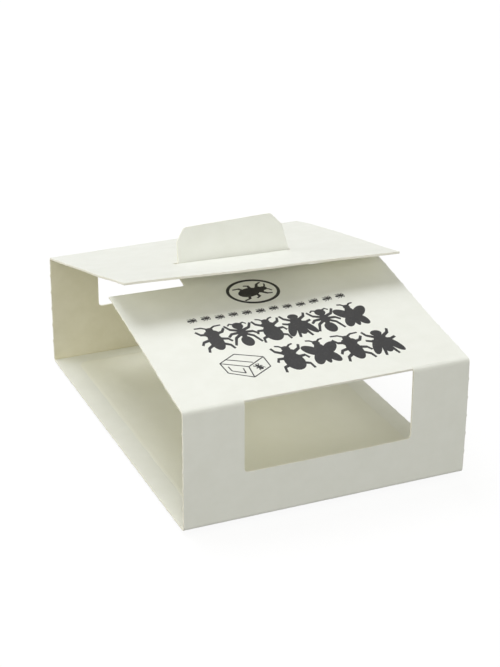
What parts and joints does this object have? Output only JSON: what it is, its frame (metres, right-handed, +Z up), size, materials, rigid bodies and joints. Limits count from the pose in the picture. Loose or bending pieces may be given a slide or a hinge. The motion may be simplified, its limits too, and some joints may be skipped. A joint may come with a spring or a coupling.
{
  "type": "folding insect glue trap",
  "caption": "Folded card insect glue trap: open-ended tunnel with windowed walls, a lean-to roof, a glued floor and a lock tab held in a slot.",
  "frame": {"origin": "middle of the base's underside", "axes": "+X along the creases (the tunnel's length), -Y the printed front wall, +Y the rear wall, +Z up"},
  "size_m": [0.0636, 0.0858, 0.0425],
  "materials": {
    "card": "matte",
    "glue": "gloss"
  },
  "bodies": {
    "base": {"base_panel": "card", "adhesive_film": "glue"},
    "front_wall": {"front_wall_panel": "card", "front_bottom_crease": "card"},
    "front_roof": {"front_roof_panel": "card", "front_top_crease": "card", "tab_tongue": "card"},
    "lock_tab": {"lock_tab": "card", "tab_crease": "card"},
    "rear_wall": {"rear_wall_panel": "card", "rear_bottom_crease": "card"},
    "rear_roof": {"rear_roof_panel": "card", "rear_top_crease": "card"}
  },
  "joints": [
    {"name": "rear_bottom_fold", "type": "hinge", "parent": "base", "child": "rear_wall", "pos_m": [0, 0.04249, 0.00041], "axis": [-1, 0, 0], "range_deg": [0, 90], "deforming": ["rear_bottom_crease"]},
    {"name": "rear_top_fold", "type": "hinge", "parent": "rear_wall", "child": "rear_roof", "pos_m": [0, 0.04254, 0.02632], "axis": [-1, 0, 0], "range_deg": [0, 76.1], "deforming": ["rear_top_crease"]},
    {"name": "front_bottom_fold", "type": "hinge", "parent": "base", "child": "front_wall", "pos_m": [0, -0.04249, 0.00041], "axis": [1, 0, 0], "range_deg": [0, 90], "deforming": ["front_bottom_crease"]},
    {"name": "front_top_fold", "type": "hinge", "parent": "front_wall", "child": "front_roof", "pos_m": [0, -0.04252, 0.02628], "axis": [1, 0, 0], "range_deg": [0, 80.8], "deforming": ["front_top_crease", "tab_tongue"]},
    {"name": "tab_fold", "type": "hinge", "parent": "front_roof", "child": "lock_tab", "pos_m": [0, 0.00736, 0.03455], "axis": [-1, 0, 0], "range_deg": [0, 51.9], "deforming": ["tab_crease", "lock_tab"]}
  ],
  "couplings": [
    {"joint": "front_bottom_fold", "follows": "rear_bottom_fold", "ratio": 1},
    {"joint": "front_top_fold", "follows": "rear_bottom_fold", "ratio": 0.89767},
    {"joint": "tab_fold", "follows": "rear_bottom_fold", "ratio": 0.57656}
  ]
}
